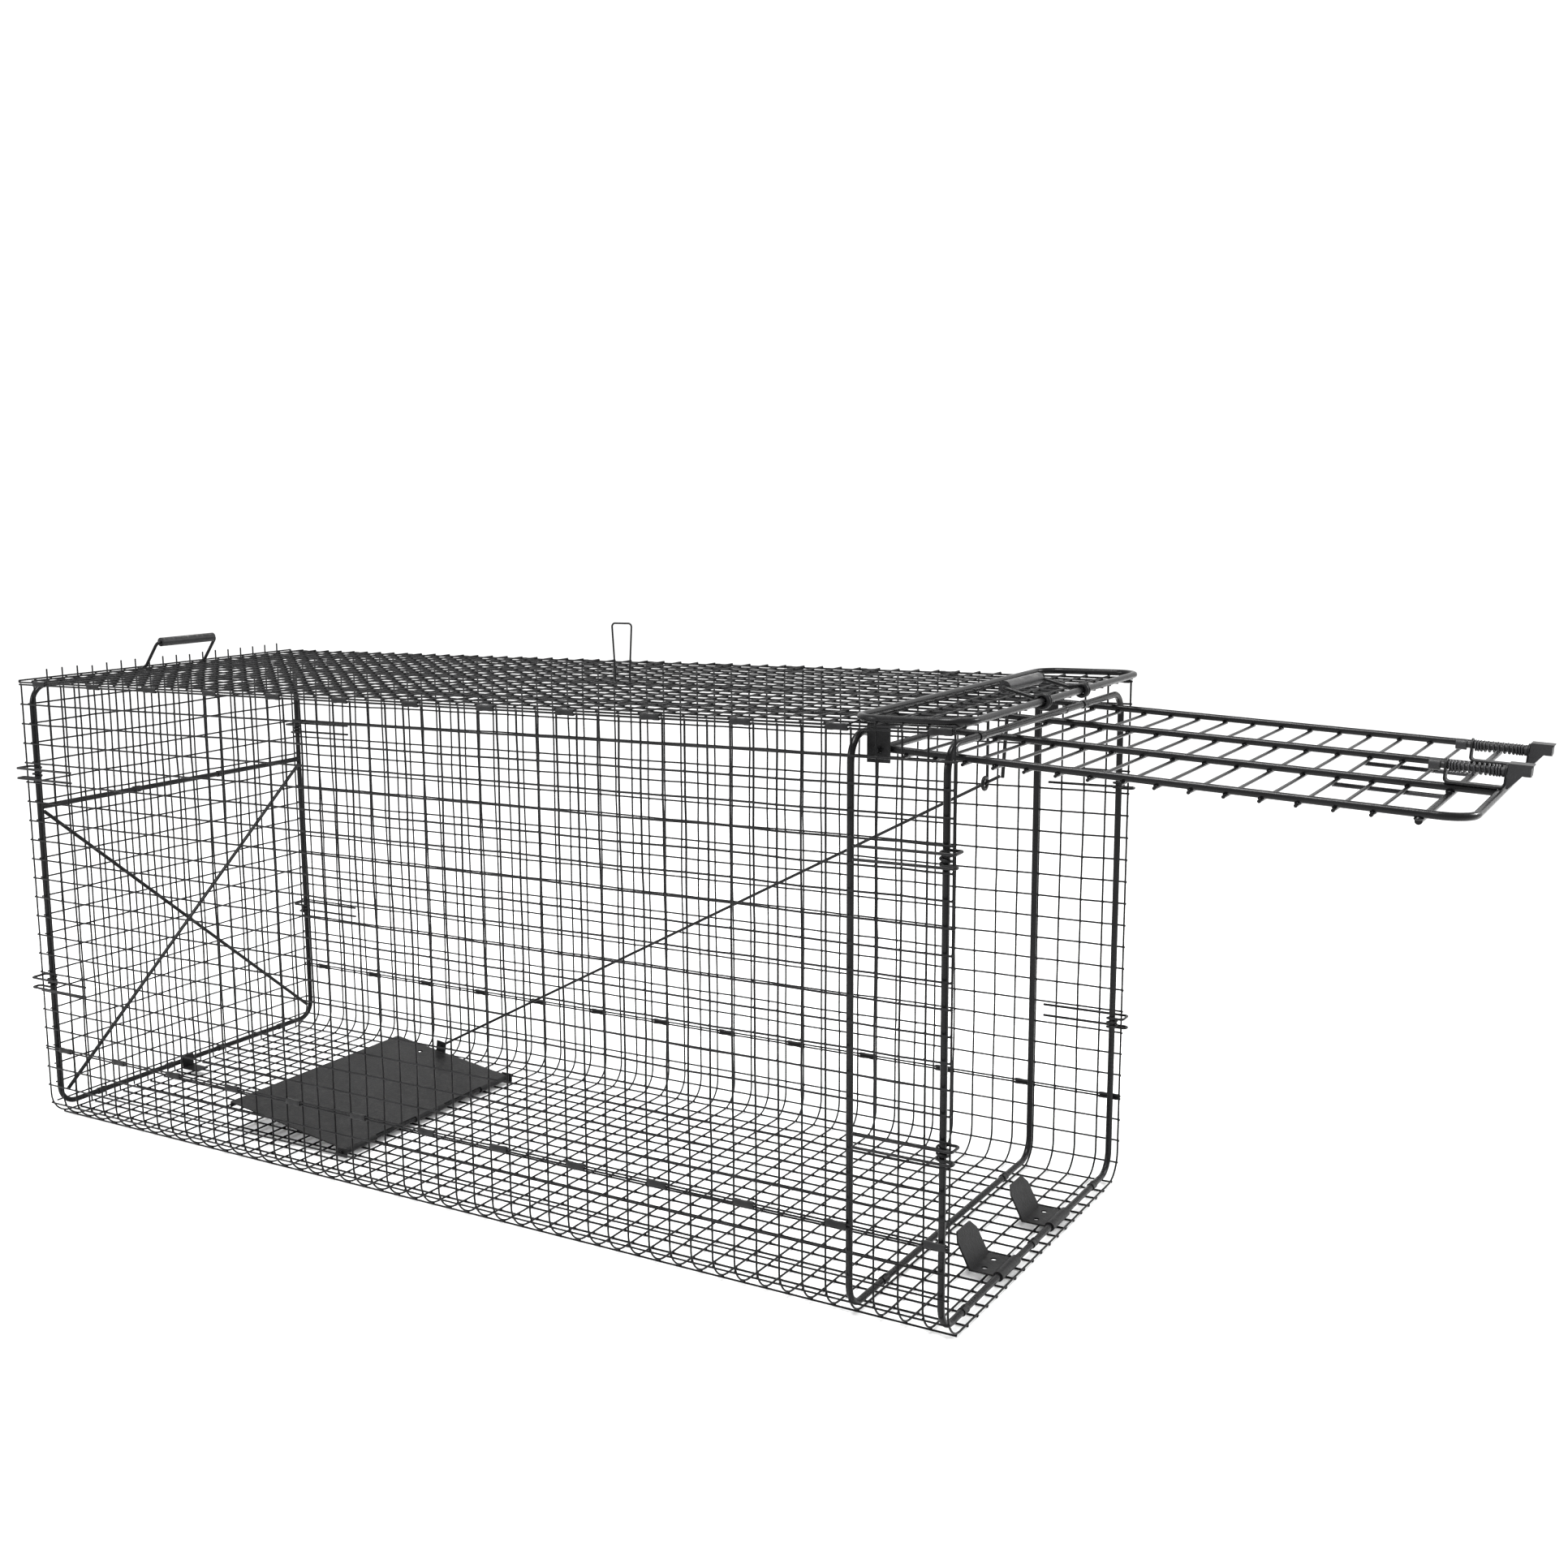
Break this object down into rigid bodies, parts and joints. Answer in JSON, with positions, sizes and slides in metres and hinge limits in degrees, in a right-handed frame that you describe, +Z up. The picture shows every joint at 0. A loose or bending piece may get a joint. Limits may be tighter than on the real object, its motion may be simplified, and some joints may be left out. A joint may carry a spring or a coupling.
{
  "type": "live catch trap",
  "caption": "Folding cage trap of black coated welded mesh with a drop door, spring latch, floor treadle, trigger rod and carry handles.",
  "frame": {"origin": "on the ground at the middle of the cage's footprint", "axes": "+X towards the door end, +Z up, -Y the side with the nearer long wall"},
  "size_m": [1.7142, 0.5318, 0.6572],
  "materials": {
    "coated_mesh": "semi-gloss black powder coat on welded wire",
    "coated_rod": "semi-gloss black powder coat on rod",
    "coated_wire": "black coat, worn lighter at the bends",
    "coated_sheet": "satin black coat on folded sheet",
    "clip_sheet": "satin black coat on pressed strip",
    "spring_steel": "dark spring steel",
    "latch_steel": "black coat",
    "grip_tube": "glossy black coat on tube"
  },
  "bodies": {
    "cage": {"floor_tray_mesh": "coated_mesh", "front_hoop": "coated_rod", "front_rod_clips": "clip_sheet", "hinge_bracket_far": "coated_sheet", "hinge_bracket_near": "coated_sheet", "hinge_rivets_far": "clip_sheet", "hinge_rivets_near": "clip_sheet", "rear_bar_clips": "clip_sheet", "rear_brace_a": "coated_rod", "rear_brace_b": "coated_rod", "rear_cross_bar": "coated_rod", "rear_hoop": "coated_rod", "rear_mesh": "coated_mesh", "rear_rod_clips": "clip_sheet", "rear_stop_bracket": "coated_sheet", "roof_edge_clips_far": "clip_sheet", "roof_edge_clips_near": "clip_sheet", "roof_front_frame": "coated_rod", "roof_mesh": "coated_mesh", "side_mesh_far": "coated_mesh", "side_mesh_near": "coated_mesh", "stop_hoop": "coated_rod", "stop_rod_clips": "clip_sheet", "strike_plate_far": "coated_sheet", "strike_plate_near": "coated_sheet", "tray_edge_clips_far": "clip_sheet", "tray_edge_clips_near": "clip_sheet", "treadle_axle": "coated_rod", "treadle_bearings": "coated_sheet", "trigger_guide_eye": "coated_wire"},
    "door": {"door_cross_wires": "coated_rod", "door_doubler_rods": "coated_wire", "door_frame": "coated_rod", "door_latch_bar": "coated_rod", "door_middle_rods": "coated_rod", "door_rear_bar": "coated_rod", "door_trip_lever": "coated_wire", "latch_carrier_far": "coated_sheet", "latch_carrier_near": "coated_sheet", "latch_spring_far": "spring_steel", "latch_spring_near": "spring_steel"},
    "bolt_near": {"latch_bolt_near": "latch_steel"},
    "bolt_far": {"latch_bolt_far": "latch_steel"},
    "treadle": {"treadle_plate": "coated_sheet"},
    "trigger": {"trigger_rod": "coated_wire"},
    "front_handle": {"front_handle_bail": "coated_wire", "front_handle_grip": "grip_tube"},
    "rear_handle": {"rear_handle_bail": "coated_wire", "rear_handle_grip": "grip_tube"},
    "keeper": {"roof_keeper_loop": "coated_wire"},
    "front_hairpin_far_lower_body": {"front_hairpin_far_lower": "coated_wire"},
    "front_hairpin_far_upper_body": {"front_hairpin_far_upper": "coated_wire"},
    "front_hairpin_near_lower_body": {"front_hairpin_near_lower": "coated_wire"},
    "front_hairpin_near_upper_body": {"front_hairpin_near_upper": "coated_wire"},
    "rear_hairpin_far_lower_body": {"rear_hairpin_far_lower": "coated_wire"},
    "rear_hairpin_far_upper_body": {"rear_hairpin_far_upper": "coated_wire"},
    "rear_hairpin_near_lower_body": {"rear_hairpin_near_lower": "coated_wire"},
    "rear_hairpin_near_upper_body": {"rear_hairpin_near_upper": "coated_wire"}
  },
  "joints": [
    {"name": "door_swing", "type": "hinge", "parent": "cage", "child": "door", "pos_m": [0.55, 0, 0.5611], "axis": [0, 1, 0], "range_deg": [0, 87.2]},
    {"name": "bolt_slide_near", "type": "slide", "parent": "door", "child": "bolt_near", "axis": [-0.9983, 0, 0.0576], "range_m": [0, 0.012], "stiffness_N_per_m": 500, "springref_m": -0.01, "deforming": ["latch_spring_near"]},
    {"name": "bolt_slide_far", "type": "slide", "parent": "door", "child": "bolt_far", "axis": [-0.9983, 0, 0.0576], "range_m": [0, 0.012], "stiffness_N_per_m": 500, "springref_m": -0.01, "deforming": ["latch_spring_far"]},
    {"name": "treadle_tilt", "type": "hinge", "parent": "cage", "child": "treadle", "pos_m": [-0.19, 0, 0.01], "axis": [0, -1, 0], "range_deg": [0, 7.5]},
    {"name": "trigger_pivot", "type": "hinge", "parent": "treadle", "child": "trigger", "pos_m": [-0.30196, 0.17, 0.03937], "axis": [0, -1, 0], "range_deg": [-6.84, 0]},
    {"name": "front_handle_swing", "type": "hinge", "parent": "cage", "child": "front_handle", "pos_m": [0.645, 0, 0.59247], "axis": [0, 1, 0], "range_deg": [0, 110]},
    {"name": "rear_handle_swing", "type": "hinge", "parent": "cage", "child": "rear_handle", "pos_m": [-0.622, 0, 0.5806], "axis": [0, -1, 0], "range_deg": [0, 81]},
    {"name": "keeper_swing", "type": "hinge", "parent": "cage", "child": "keeper", "pos_m": [0.1238, 0, 0.5856], "axis": [1, 0, 0], "range_deg": [-75, 75]},
    {"name": "front_hairpin_far_lower_swing", "type": "hinge", "parent": "cage", "child": "front_hairpin_far_lower_body", "pos_m": [0.626, 0.2469, 0.1889], "axis": [0, 0, -1], "range_deg": [0, 150]},
    {"name": "front_hairpin_far_upper_swing", "type": "hinge", "parent": "cage", "child": "front_hairpin_far_upper_body", "pos_m": [0.626, 0.2469, 0.4683], "axis": [0, 0, -1], "range_deg": [0, 150]},
    {"name": "front_hairpin_near_lower_swing", "type": "hinge", "parent": "cage", "child": "front_hairpin_near_lower_body", "pos_m": [0.626, -0.2469, 0.1889], "axis": [0, 0, 1], "range_deg": [0, 150]},
    {"name": "front_hairpin_near_upper_swing", "type": "hinge", "parent": "cage", "child": "front_hairpin_near_upper_body", "pos_m": [0.626, -0.2469, 0.4683], "axis": [0, 0, 1], "range_deg": [0, 150]},
    {"name": "rear_hairpin_far_lower_swing", "type": "hinge", "parent": "cage", "child": "rear_hairpin_far_lower_body", "pos_m": [-0.622, 0.2469, 0.1889], "axis": [0, 0, 1], "range_deg": [0, 150]},
    {"name": "rear_hairpin_far_upper_swing", "type": "hinge", "parent": "cage", "child": "rear_hairpin_far_upper_body", "pos_m": [-0.622, 0.2469, 0.4683], "axis": [0, 0, 1], "range_deg": [0, 150]},
    {"name": "rear_hairpin_near_lower_swing", "type": "hinge", "parent": "cage", "child": "rear_hairpin_near_lower_body", "pos_m": [-0.622, -0.2469, 0.1889], "axis": [0, 0, -1], "range_deg": [0, 150]},
    {"name": "rear_hairpin_near_upper_swing", "type": "hinge", "parent": "cage", "child": "rear_hairpin_near_upper_body", "pos_m": [-0.622, -0.2469, 0.4683], "axis": [0, 0, -1], "range_deg": [0, 150]}
  ],
  "couplings": [
    {"joint": "trigger_pivot", "follows": "treadle_tilt", "ratio": -0.9052}
  ]
}
